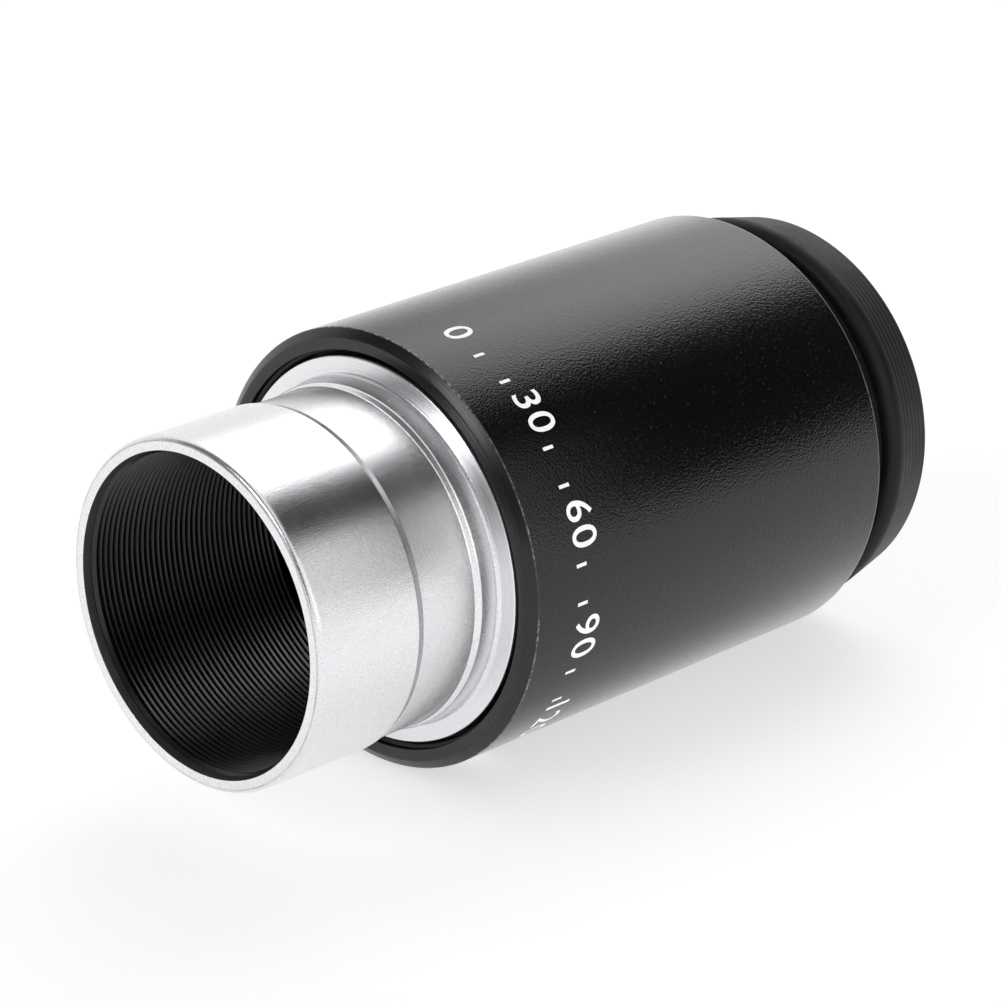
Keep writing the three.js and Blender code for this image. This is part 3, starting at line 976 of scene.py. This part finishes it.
def inner_ring(name, node, corners):
    piece = turn(name, rounded([(radius, station, SOFT_EDGE) for radius, station in corners]), INNER_STEPS)
    paint(piece, matt_black)
    settle(piece, "housing", "matt_black_metal", node)


front, back = span_of("glare_baffle")
outer = radius_of("glare_baffle", INNER_SIDES)
baffle_corners = [
    (BAFFLE_HOLE_R, front),
    (outer, front),
    (outer, back),
    (outer - BAFFLE_WALL, back),
    (outer - BAFFLE_WALL, front + 0.8),
    (BAFFLE_HOLE_R, front + 0.5),
]
inner_ring("baffle", "glare_baffle", baffle_corners)

# %% Lens cell and its lock ring
CELL_FLANGE = 2.4
CELL_TUBE_R = 15.0
CELL_THREAD_R = 13.65
CELL_THREAD = 1.9
CELL_BORE_R = 13.3
CELL_LIP_R = 12.5
CELL_LIP_BACK = 44.9
front, back = span_of("lens_cell")
outer = radius_of("lens_cell", INNER_SIDES)
cell_corners = [
    (CELL_LIP_R, front),
    (outer, front),
    (outer, front + CELL_FLANGE),
    (CELL_TUBE_R, front + CELL_FLANGE),
    (CELL_TUBE_R, back),
    (CELL_THREAD_R, back),
    (CELL_THREAD_R, back - CELL_THREAD),
    (CELL_BORE_R, back - CELL_THREAD - 0.3),
    (CELL_BORE_R, CELL_LIP_BACK),
    (CELL_LIP_R, CELL_LIP_BACK),
]
inner_ring("cell", "lens_cell", cell_corners)

front, back = span_of("cell_lock_ring")
lock_corners = [(CELL_SHOULDER_R, front), (outer, front), (outer, back), (CELL_SHOULDER_R, back)]
inner_ring("lock_ring", "cell_lock_ring", lock_corners)

# %% [markdown]
# ## The lenses
# Each lens group is a strongly curved crown cemented to a flint. A lens section has two faces that meet the
# ground edge: an arc from the circle's own formula, or a flat. The spacer's ends follow the crowns' faces.

# %% Lens sections
LENS_R = 13.05
CEMENT_RADIUS = 26.0
CROWN_RADIUS = 38.0
FLINT_MIDDLE = 1.8
FACE_STEPS = 14


def curved_face(vertex, curve_radius, way):
    """Points from the axis to the edge. way is 1 where the edge lies further along than the middle."""
    points = []
    for i in range(FACE_STEPS + 1):
        radius = LENS_R * i / FACE_STEPS
        sag = curve_radius - math.sqrt(curve_radius**2 - radius * radius)
        points.append((radius, vertex + way * sag))
    return points


def flat_face(station):
    return [(0, station), (LENS_R, station)]


def lens(name, node, first, second, material, slot):
    piece = turn(name, first + second[::-1], INNER_STEPS, closed=False)
    paint(piece, material)
    settle(piece, "housing", slot, node)


# %% Field pair
flint_front = front_of("field_flint")
field_crown_front, field_crown_back = span_of("field_crown")
first = flat_face(flint_front)
second = curved_face(flint_front + FLINT_MIDDLE, CEMENT_RADIUS, 1)
lens("field_flint_lens", "field_flint", first, second, flint_glass, "flint_glass")
first = curved_face(field_crown_front, CEMENT_RADIUS, 1)
second = curved_face(field_crown_back, CROWN_RADIUS, -1)
lens("field_crown_lens", "field_crown", first, second, crown_glass, "crown_glass")

# %% Eye pair
eye_crown_front, eye_crown_back = span_of("eye_crown")
flint_back = back_of("eye_flint")
first = curved_face(eye_crown_front, CROWN_RADIUS, 1)
second = curved_face(eye_crown_back, CEMENT_RADIUS, -1)
lens("eye_crown_lens", "eye_crown", first, second, crown_glass, "crown_glass")
first = curved_face(flint_back - FLINT_MIDDLE, CEMENT_RADIUS, -1)
second = flat_face(flint_back)
lens("eye_flint_lens", "eye_flint", first, second, flint_glass, "flint_glass")

# %% Spacer ring between the crowns
SPACER_GAP = 0.03
SPACER_INNER_R = 12.3
SPACER_OUTER_R = 13.1


def crown_sag(radius):
    """How far the crown's outer face falls back from its middle at a radius."""
    return CROWN_RADIUS - math.sqrt(CROWN_RADIUS**2 - radius**2)


spacer_corners = [
    (SPACER_INNER_R, field_crown_back - crown_sag(SPACER_INNER_R) + SPACER_GAP),
    (SPACER_OUTER_R, field_crown_back - crown_sag(SPACER_OUTER_R) + SPACER_GAP),
    (SPACER_OUTER_R, eye_crown_front + crown_sag(SPACER_OUTER_R) - SPACER_GAP),
    (SPACER_INNER_R, eye_crown_front + crown_sag(SPACER_INNER_R) - SPACER_GAP),
]
inner_ring("spacer", "lens_spacer", spacer_corners)

# %% [markdown]
# ## The retaining ring, cap and screws
# The retaining ring has two slots for a spanner. They are cut with one thin box across the ring: a Boolean
# modifier subtracts it, and is applied at once. The cap is turned with a conical mask around the eye lens
# and a groove for the rubber, and its three screw holes are cut with rods in the same way.

# %% Retaining ring with spanner slots
def apply_boolean(piece, cutter):
    modifier = piece.modifiers.new("cut", "BOOLEAN")
    modifier.operation = "DIFFERENCE"
    modifier.solver = "EXACT"
    modifier.object = cutter
    bpy.context.view_layer.update()
    evaluated = piece.evaluated_get(bpy.context.evaluated_depsgraph_get())
    cut = bpy.data.meshes.new_from_object(evaluated)
    piece.modifiers.clear()
    piece.data = cut
    bpy.data.objects.remove(cutter)


def scratch_box(size, middle):
    bm = bmesh.new()
    bmesh.ops.create_cube(bm, size=1.0)
    bmesh.ops.scale(bm, verts=bm.verts, vec=size)
    bmesh.ops.translate(bm, verts=bm.verts, vec=middle)
    return finish_mesh("cutter", bm)


SLOT_CUTTER = (39 * MM, 1.1 * MM, 1.0 * MM)
RETAINER_R = 13.4
RETAINER_HOLE_FRONT_R = 12.2
RETAINER_HOLE_BACK_R = 12.5
front, back = span_of("lens_retaining_ring")
retainer_corners = [
    (RETAINER_HOLE_FRONT_R, front, 0.06),
    (RETAINER_R, front, 0.06),
    (RETAINER_R, back, 0.08),
    (RETAINER_HOLE_BACK_R, back, 0.08),
]
retainer = turn("retainer", rounded(retainer_corners))
apply_boolean(retainer, scratch_box(SLOT_CUTTER, place_of(back)))
paint(retainer, matt_black)
settle(retainer, "housing", "matt_black_metal", "lens_retaining_ring")

# %% Eye-end cap
CAP_R = radius_of("eye_end_cap", INNER_SIDES)
CAP_NECK_R = 16.8
CAP_BORE_R = 15.3
GROOVE_R = 16.1
GROOVE_START = 66.8
GROOVE_END = 67.8
MASK_OUTER_R = 14.2
MASK_INNER_R = 12.3
MASK_FRONT = 65.9
MASK_STEPS = 6
MASK_NARROWING = 1.8
MASK_DEPTH = 1.85
MASK_GROOVE = 0.07
front, back = span_of("eye_end_cap")
mask_rings = []
for step in range(1, MASK_STEPS):
    groove = MASK_GROOVE if step % 2 else 0
    radius = MASK_OUTER_R - MASK_NARROWING * step / MASK_STEPS - groove
    mask_rings.append((radius, back - MASK_DEPTH * step / MASK_STEPS, 0))
cap_corners = [
    (CAP_BORE_R, front, 0.1),
    (CAP_R, front, 0.15),
    (CAP_R, SHELL_REAR - 0.3, 0.1),
    (CAP_NECK_R, SHELL_REAR - 0.1, 0.05),
    (CAP_NECK_R, GROOVE_START - 0.2, 0.05),
    (GROOVE_R, GROOVE_START, 0.05),
    (GROOVE_R, GROOVE_END, 0.05),
    (CAP_NECK_R, GROOVE_END + 0.2, 0.05),
    (CAP_NECK_R, back, 0.2),
    (MASK_OUTER_R, back, 0.15),
    *mask_rings,
    (MASK_INNER_R, back - 1.9, 0.1),
    (MASK_INNER_R, MASK_FRONT, 0.1),
    (CAP_BORE_R, MASK_FRONT, 0.1),
]
cap = turn("cap", rounded(cap_corners))

# %% Screw holes in the cap
SCREW_NODES = ["cap_grub_screw_1", "cap_grub_screw_2", "cap_grub_screw_3"]
SCREW_STATION = (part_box("cap_grub_screw_1")[0].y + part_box("cap_grub_screw_1")[1].y) / 2
SCREW_R = 1.0
HOLE_PLAY = 0.08
HOLE_DEPTH = 5


def screw_way(node):
    """The outward direction of a grub screw, and how far its node's middle is from the axis."""
    low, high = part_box(node)
    way = (low + high) / 2 - Vector((0, 0, AXIS_Z))
    way.y = 0
    return way.normalized(), way.length


def scratch_rod(radius, length, middle, way):
    bm = bmesh.new()
    place = Matrix.Translation(middle) @ way.to_track_quat("Z", "Y").to_matrix().to_4x4()
    bmesh.ops.create_cone(
        bm, cap_ends=True, segments=24, radius1=radius, radius2=radius, depth=length, matrix=place
    )
    return finish_mesh("cutter", bm)


for node in SCREW_NODES:
    way = screw_way(node)[0]
    middle = Vector((0, SCREW_STATION, AXIS_Z)) + way * (CAP_R - 1.0) * MM
    apply_boolean(cap, scratch_rod((SCREW_R + HOLE_PLAY) * MM, HOLE_DEPTH * MM, middle, way))
paint(cap, matt_black)
settle(cap, "housing", "matt_black_metal", "eye_end_cap")

# %% [markdown]
# ## Grub screws
# Each screw is a short rod with ring-shaped thread grooves, a narrower tip and a hexagon socket. It is spun
# upright at the world's middle with its top left open. The top's edge is extruded inward onto a hexagon,
# then down, and closed, which makes the socket without a Boolean. Last, the screw is moved to its hole.

# %% Grub screw helpers
SCREW_LENGTH = 2.0 * MM
SCREW_GROOVES = 7
SOCKET_R = 0.5
SOCKET_DEPTH = 0.9


def points_of(made):
    return [part for part in made if isinstance(part, bmesh.types.BMVert)]


def open_edges_of(made):
    return [part for part in made if isinstance(part, bmesh.types.BMEdge) and part.is_boundary]


def hexagon_radius(angle, corner_radius):
    """How far the edge of a hexagon is from its middle, at an angle."""
    sixth = math.pi / 3
    from_flat = angle - round(angle / sixth) * sixth
    return corner_radius * math.cos(sixth / 2) / math.cos(from_flat)


def screw_section():
    """Pairs of radius and height in metres, from the tip to the top's open edge."""
    half = SCREW_LENGTH / 2
    section = [(0.0, -half), (0.6 * MM, -half)]
    for i in range(SCREW_GROOVES):
        height = -half + SCREW_LENGTH * (i + 0.5) / SCREW_GROOVES
        section += [(0.84 * MM, height - 0.06 * MM), (SCREW_R * MM, height)]
    return section + [(0.8 * MM, half), (0.55 * MM, half)]


# %% Grub screws
def grub_screw(name, node):
    bm = bmesh.new()
    verts = [bm.verts.new((radius, 0, height)) for radius, height in screw_section()]
    edges = [bm.edges.new(pair) for pair in zip(verts, verts[1:])]
    geom = verts + edges
    bmesh.ops.spin(
        bm, geom=geom, cent=(0, 0, 0), axis=(0, 0, 1), angle=2 * math.pi, steps=24, use_merge=True
    )
    bmesh.ops.remove_doubles(bm, verts=bm.verts, dist=0.001 * MM)
    mouth = bmesh.ops.extrude_edge_only(bm, edges=open_edges_of(bm.edges))["geom"]
    for vert in points_of(mouth):
        angle = math.atan2(vert.co.y, vert.co.x)
        grow = hexagon_radius(angle, SOCKET_R * MM) / vert.co.xy.length
        vert.co = (vert.co.x * grow, vert.co.y * grow, vert.co.z)
    walls = bmesh.ops.extrude_edge_only(bm, edges=open_edges_of(mouth))["geom"]
    bmesh.ops.translate(bm, verts=points_of(walls), vec=(0, 0, -SOCKET_DEPTH * MM))
    bmesh.ops.contextual_create(bm, geom=open_edges_of(walls))
    bmesh.ops.recalc_face_normals(bm, faces=bm.faces)
    way, out = screw_way(node)
    place = Matrix.Translation(Vector((0, SCREW_STATION, AXIS_Z)) + way * out)
    place = place @ way.to_track_quat("Z", "Y").to_matrix().to_4x4()
    bmesh.ops.transform(bm, matrix=place, verts=bm.verts)
    piece = finish_mesh(name, bm)
    paint(piece, screw_steel)
    settle(piece, "housing", "screw_steel", node)


for number, node in enumerate(SCREW_NODES, 1):
    grub_screw(f"grub_screw_{number}", node)

# %% [markdown]
# ## The rubber eyecup
# The eyecup is one moulding. A bead inside its foot snaps into the cap's groove. Outside, it swells over a
# rounded shoulder and then draws in to the lip, with fine rings moulded round it for grip. It crosses the
# joint that folds it, but here it is one fixed piece that stands for all three of its nodes.

# %% Eyecup sizes
CUP_FRONT, CUP_WALL_A = span_of("eyecup_collar")
CUP_WALL_B = front_of("eyecup_lip")
CUP_FOOT_R = radius_of("eyecup_collar")
CUP_R = radius_of("eyecup_wall")
CUP_TAPER = 0.21
CUP_WALL = 1.7
SHOULDER_FRONT = CUP_WALL_A + 0.7
SHOULDER_ROUND = 1.3
SHOULDER_END = SHOULDER_FRONT + SHOULDER_ROUND
SHOULDER_STEPS = 8
RIB_START = SHOULDER_END + 0.5
RIB_PITCH = 0.62
RIB_COUNT = 6
RIB_DEPTH = 0.02
RIB_STEPS = 6
BEAD_R = GROOVE_R + 0.2


def cup_outer(station):
    """The outer radius of the tapered wall."""
    return CUP_R - CUP_TAPER * (station - SHOULDER_END)


# %% Shoulder and ribs
shoulder = []
for i in range(SHOULDER_STEPS + 1):
    angle = math.pi / 2 * i / SHOULDER_STEPS
    radius = CUP_R - SHOULDER_ROUND * (1 - math.sin(angle))
    shoulder.append((radius, SHOULDER_FRONT + SHOULDER_ROUND * (1 - math.cos(angle)), 0))
ribs = []
for i in range(RIB_COUNT * RIB_STEPS + 1):
    station = RIB_START + i * RIB_PITCH / RIB_STEPS
    wave = 0.5 + 0.5 * math.cos(2 * math.pi * i / RIB_STEPS)
    ribs.append((cup_outer(station) - RIB_DEPTH * (1 - wave), station, 0))
print(len(shoulder), "shoulder points,", len(ribs), "rib points")

# %% Eyecup section
neck = CAP_NECK_R + 0.15
lip_r = cup_outer(TOTAL)
eyecup_corners = [
    (neck, CUP_FRONT, 0.1),
    (CUP_FOOT_R, CUP_FRONT, 0.25),
    (CUP_FOOT_R, SHOULDER_FRONT, 0.05),
    *shoulder,
    *ribs,
    (lip_r, TOTAL, 0.5),
    (lip_r - CUP_WALL - 0.5, TOTAL, 0.35),
    (lip_r - CUP_WALL - 0.45, TOTAL - 1.2, 0.25),
    (cup_outer(TOTAL - 1.5) - CUP_WALL, TOTAL - 1.5, 0.2),
    (cup_outer(CUP_WALL_B - 1.5) - CUP_WALL, CUP_WALL_B - 1.5, 0),
    (CUP_R - CUP_WALL, SHOULDER_END, 0.3),
    (CUP_R - CUP_WALL - 0.2, SHOULDER_END - 0.8, 0.2),
    (neck, CUP_WALL_A + 0.2, 0.1),
    (neck, GROOVE_END + 0.1, 0.05),
    (BEAD_R, GROOVE_END - 0.3, 0.05),
    (BEAD_R, GROOVE_START + 0.1, 0.05),
    (neck, GROOVE_START - 0.15, 0.05),
]
eyecup = turn("eyecup", rounded(eyecup_corners))
paint(eyecup, rubber)
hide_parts("eyecup_collar", "eyecup_wall", "eyecup_lip")
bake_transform(eyecup)

# %% [markdown]
# ## Finish
# Every imported node that is still shown is named, so that a piece left without its fine version shows up.

# %% Imported nodes still shown
for name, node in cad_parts.items():
    if not node.hide_render:
        print("still shown as packed:", name)
